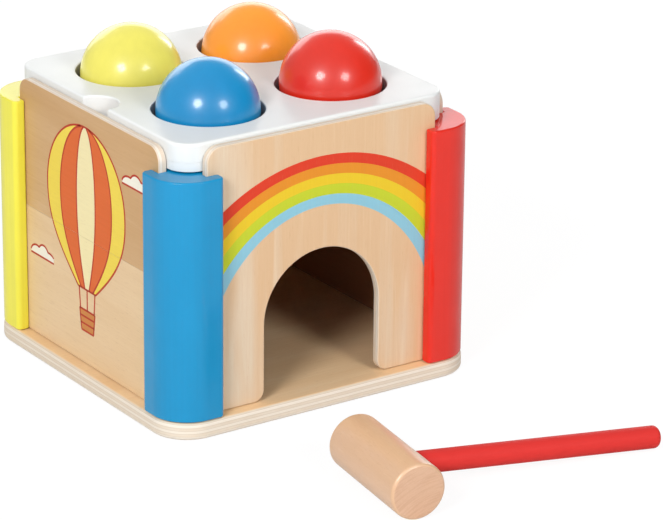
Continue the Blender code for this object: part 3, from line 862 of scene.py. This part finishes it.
picture = dict(face=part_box("left_panel_lower")[0].x, outward=(-1, 0, 0), line=0.9, pathStep=0.004,
               seams=(("lower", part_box("left_panel_upper")[0].z - wall["seamGap"]),
                      ("upper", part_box("left_panel_upper")[0].z)),
               goreGrid=(6, 72), goreLineGrid=(1, 96), straightGrid=(1, 4), basketGrid=(4, 4),
               cloudGrid=(96, 4), cloudLineGrid=(1, 120))
pictureTones = {"sunYellow": (240, 214, 84), "orangeRed": (222, 106, 50), "cream": (244, 230, 178),
                "outline": (186, 58, 38), "basket": (205, 134, 70), "cloudWhite": (243, 238, 222)}
inkLook = dict(boardLook, turn=sideWalls["left"]["turn"])
pictureInk = {name: makeInk(name + "Ink", colour, inkLook) for name, colour in pictureTones.items()}
balloon = dict(middle=-2, waist=86, crown=34, halfWidth=33, mouth=44, mouthHalf=7.5, pinch=1.2, innerLine=1.9,
               gores=(-1, -0.66, -0.24, 0.24, 0.66, 1),
               goreTones=("sunYellow", "orangeRed", "cream", "orangeRed", "sunYellow"))
basket = dict(ropes=(-0.9, 0.0, 0.9), brim=34, foot=24, half=6.5, taper=1.4,
              weave=(27.4, 30.8), weaveInset=0.5)
clouds = (dict(middle=40, foot=104, half=11, bumps=((-0.5, 4.2), (0.05, 6.4), (0.55, 4.6))),
          dict(middle=-41, foot=47, half=10, bumps=((-0.5, 4.4), (0.1, 6.0), (0.6, 3.8))))
cloudEdge = dict(bumpHalf=0.52, lowest=0.3)


def halve(sheet, height, keepLow):
    openUp(sheet)
    bpy.ops.mesh.bisect(plane_co=(0, 0, height), plane_no=(0, 0, 1),
                        clear_outer=keepLow, clear_inner=not keepLow)
    closeUp()


def printPatch(name, colour, grid, place, layer=0):
    def spot(x, y):
        across, height = place(x, y)
        return picture["face"], -across * mm, height * mm

    whole = addSheet(name, *grid, spot)
    for half, height in picture["seams"]:
        part = copyPiece(whole, name + half.capitalize())
        halve(part, height, half == "lower")
        if not part.data.polygons:
            bpy.data.objects.remove(part)
            continue
        thicken(part, picture["outward"], layer)
        dress(part, pictureInk[colour], "left_" + half + "_wall")
    bpy.data.objects.remove(whole)


def printLine(name, grid, path):  # a line of ink along a path, x across it and y along it
    def place(x, y):
        share, step = (y + 1) / 2, picture["pathStep"]
        before, after = path(max(share - step, 0)), path(min(share + step, 1))
        run = Vector((after[0] - before[0], after[1] - before[1])).normalized()
        middle = path(share)
        return (middle[0] + run.y * x * picture["line"] / 2, middle[1] - run.x * x * picture["line"] / 2)

    printPatch(name, "outline", grid, place, 1)


def balloonEdge(share, rise):  # rise runs from -1 at the mouth to 1 at the crown
    if rise > 0:
        half = balloon["halfWidth"] * math.cos(rise * math.pi / 2)
        height = balloon["waist"] + balloon["crown"] * math.sin(rise * math.pi / 2)
    else:
        narrowing = math.cos((-rise) ** balloon["pinch"] * math.pi / 2)
        half = balloon["mouthHalf"] + (balloon["halfWidth"] - balloon["mouthHalf"]) * narrowing
        height = balloon["waist"] + (balloon["waist"] - balloon["mouth"]) * rise
    return balloon["middle"] + share * half, height


def printBalloon():
    gores = balloon["gores"]
    for index, colour in enumerate(balloon["goreTones"]):
        start, width = gores[index], gores[index + 1] - gores[index]
        printPatch("gore%d" % index, colour, picture["goreGrid"],
                   lambda x, y: balloonEdge(start + width * (x + 1) / 2, y))
    for index, share in enumerate(gores):
        length = 2 if abs(share) == 1 else balloon["innerLine"]
        printLine("goreLine%d" % index, picture["goreLineGrid"],
                  lambda t: balloonEdge(share, t * length - 1))


def printBasket():
    middle, mouth, mouthHalf = balloon["middle"], balloon["mouth"], balloon["mouthHalf"]
    half, brim, foot, taper = basket["half"], basket["brim"], basket["foot"], basket["taper"]
    lines = [((middle - mouthHalf, mouth), (middle + mouthHalf, mouth))]
    lines += [((middle + share * mouthHalf, mouth), (middle + share * half, brim))
              for share in basket["ropes"]]
    corners = [(middle - half, brim), (middle - half + taper, foot),
               (middle + half - taper, foot), (middle + half, brim)]
    lines += [(corners[i], corners[(i + 1) % 4]) for i in range(4)]
    inset = half - basket["weaveInset"]
    lines += [((middle - inset, height), (middle + inset, height)) for height in basket["weave"]]
    for index, (start, end) in enumerate(lines):
        printLine("ropeLine%d" % index, picture["straightGrid"],
                  lambda t: (start[0] + (end[0] - start[0]) * t, start[1] + (end[1] - start[1]) * t))

    def spot(x, y):
        share = (y + 1) / 2
        return middle + x * (half - taper * (1 - share)), foot + (brim - foot) * share

    printPatch("basket", "basket", picture["basketGrid"], spot)


def printCloud(index, cloud):
    middle, foot, half = cloud["middle"], cloud["foot"], cloud["half"]

    def rise(share):  # height of the cloud's edge above its foot
        humps = [height * math.sqrt(max(0, 1 - ((share - place) / cloudEdge["bumpHalf"]) ** 2))
                 for place, height in cloud["bumps"]]
        return max(*humps, cloudEdge["lowest"])

    printPatch("cloud%d" % index, "cloudWhite", picture["cloudGrid"],
               lambda x, y: (middle + x * half, foot + rise(x) * (y + 1) / 2))
    printLine("cloudLine%d" % index, picture["cloudLineGrid"],
              lambda t: (middle + (t * 2 - 1) * half, foot + rise(t * 2 - 1)))
    printLine("cloudFoot%d" % index, picture["straightGrid"],
              lambda t: (middle + (t * 2 - 1) * half, foot))


printBalloon()
printBasket()
for index, cloud in enumerate(clouds):
    printCloud(index, cloud)
print("wall picture done")


# What stays as the frame has it gets its own finish

pegLook = {name: value for name, value in headLook.items() if name != "ends"}
pegLook.update(centre=(0, 0, 0), turn=(0, -90, 0))
zinc = dict(pale=(206, 206, 200), deep=(182, 182, 176), cloudScale=(900, 900, 900), gloss=(0.25, 0.4))


def makeZinc():
    material, tree, shader = newMaterial("screwZinc")
    cloud = noise(tree, stretched(tree, placed(tree), zinc["cloudScale"]))
    plug(tree, shader.inputs["Base Color"],
         blendColour(tree, widened(tree, cloud), tone(*zinc["pale"]), tone(*zinc["deep"])))
    plug(tree, shader.inputs["Roughness"], widened(tree, cloud, *zinc["gloss"]))
    shader.inputs["Metallic"].default_value = 1
    return material


frameFinishes = {
    "seat_ring_": makePaint("elasticRubber", (84, 78, 76), gloss=0.6, grain=(300, 300, 300),
                            peel=0.03 * mm, shade=0.8),
    "dowel_": makeWood("dowelBeech", pegLook), "screw_": makeZinc()}
for name in quarterTurns:
    for node, finish in frameFinishes.items():
        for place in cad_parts[node + name].material_slots:
            place.material = finish


# Floor, light and camera

studio = dict(floorSize=6.0, floorDrop=0.2 * mm, floorTone=0.75, floorRough=0.9, floorShine=1.1,
              floorWhite=0.82, floorMirror=0.15, skyMirror=0.05, skyBack=0.03, skyFront=0.54,
              skyBand=(-0.5, 1.0), skyAzimuth=-80, skyElevation=50, lampHeight=0.13)
camera = dict(place=(-0.866677, -1.350581, 0.660207), azimuth=-34.315, elevation=21.0114, roll=0.5575,
              focalPixels=3809.59, photoWidth=663, sensor=36.0, farthest=50)
lamps = {
    "frontLeft": dict(azimuth=-58, elevation=28.8, size=(0.46, 0.46), distance=1.4, power=10.8),
    "frontRight": dict(azimuth=3.5, elevation=24.4, size=(0.42, 0.42), distance=1.4, power=6.6),
    "backLeft": dict(azimuth=177, elevation=26, size=(0.50, 0.16), distance=1.4, power=0.7),
    "backRight": dict(azimuth=116, elevation=17, size=(0.18, 0.50), distance=1.4, power=1.9),
    "backdrop": dict(azimuth=146, elevation=13, size=(2.6, 0.75), distance=1.7, power=13.0),
}


def pointing(azimuth, elevation):  # azimuth 0 is the front, in degrees
    azimuth, elevation = math.radians(azimuth), math.radians(elevation)
    return Vector((math.sin(azimuth) * math.cos(elevation), -math.cos(azimuth) * math.cos(elevation),
                   math.sin(elevation)))


def cameraTurn():
    back = pointing(camera["azimuth"], camera["elevation"])
    right = Vector((0, 0, 1)).cross(back).normalized()
    level = Matrix((right, back.cross(right), back)).transposed()
    return level @ Matrix.Rotation(math.radians(camera["roll"]), 3, "Z")


def buildCamera():
    lens = bpy.data.cameras.new("photoCamera")
    lens.sensor_width = camera["sensor"]
    lens.lens = camera["focalPixels"] * camera["sensor"] / camera["photoWidth"]
    lens.clip_end = camera["farthest"]
    eye = bpy.data.objects.new("photoCamera", lens)
    eye.matrix_world = Matrix.Translation(camera["place"]) @ cameraTurn().to_4x4()
    bpy.context.scene.collection.objects.link(eye)
    bpy.context.scene.camera = eye


def seenRays(tree, mirrorShare):  # camera and glass rays see plain white, mirror rays a share of it
    path = tree.nodes.new("ShaderNodeLightPath")
    seen = calculate(tree, "MAXIMUM", path.outputs["Is Camera Ray"], path.outputs["Is Transmission Ray"])
    mirrored = calculate(tree, "MULTIPLY", path.outputs["Is Glossy Ray"], mirrorShare)
    return calculate(tree, "MAXIMUM", seen, mirrored)


def buildFloor():
    startClean()
    bpy.ops.mesh.primitive_plane_add(size=studio["floorSize"], location=(0, 0, -studio["floorDrop"]))
    floor = settle(bpy.context.object, "floor")
    material, tree, shader = newMaterial("floorWhite")
    setInputs(shader, {"Base Color": [studio["floorTone"]] * 3 + [1], "Roughness": studio["floorRough"],
                       "Specular IOR Level": 0})
    glow = tree.nodes.new("ShaderNodeEmission")
    glow.inputs["Strength"].default_value = studio["floorShine"]
    mix = tree.nodes.new("ShaderNodeMixShader")
    seen = seenRays(tree, studio["floorMirror"])
    plug(tree, mix.inputs["Fac"], spread(tree, seen, 0, 1, 0.0, studio["floorWhite"]))
    tree.links.new(shader.outputs["BSDF"], mix.inputs[1])
    tree.links.new(glow.outputs["Emission"], mix.inputs[2])
    tree.links.new(mix.outputs["Shader"], tree.nodes["Material Output"].inputs["Surface"])
    floor.data.materials.append(material)


def buildSky():  # brightest towards the left, plain white where the camera looks
    world = bpy.data.worlds.new("studio")
    world.use_nodes = True
    bpy.context.scene.world = world
    tree = world.node_tree
    sky = tree.nodes["Background"]
    sky.inputs["Color"].default_value = (1, 1, 1, 1)
    coordinates = tree.nodes.new("ShaderNodeTexCoord")
    bright = pointing(studio["skyAzimuth"], studio["skyElevation"])
    facing = partAlong(tree, coordinates.outputs["Generated"], bright)
    strength = spread(tree, facing, *studio["skyBand"], studio["skyBack"], studio["skyFront"], smooth=True)
    seen = seenRays(tree, studio["skyMirror"])
    kept = calculate(tree, "MULTIPLY", strength, calculate(tree, "SUBTRACT", 1.0, seen))
    plug(tree, sky.inputs["Strength"], calculate(tree, "ADD", kept, seen))


def buildLamps():
    centre = Vector((0, 0, studio["lampHeight"]))
    for name, look in lamps.items():
        light = bpy.data.lights.new(name, "AREA")
        light.shape = "RECTANGLE" if name.startswith("back") else "ELLIPSE"
        light.size, light.size_y = look["size"]
        light.energy = look["power"]
        lamp = bpy.data.objects.new(name, light)
        direction = pointing(look["azimuth"], look["elevation"])
        lamp.location = centre + direction * look["distance"]
        lamp.rotation_euler = direction.to_track_quat("Z", "Y").to_euler()
        lamp.visible_camera = False
        bpy.context.scene.collection.objects.link(lamp)


buildCamera()
buildFloor()
buildSky()
buildLamps()
bpy.context.scene.view_settings.view_transform = "Standard"
print("studio ready")
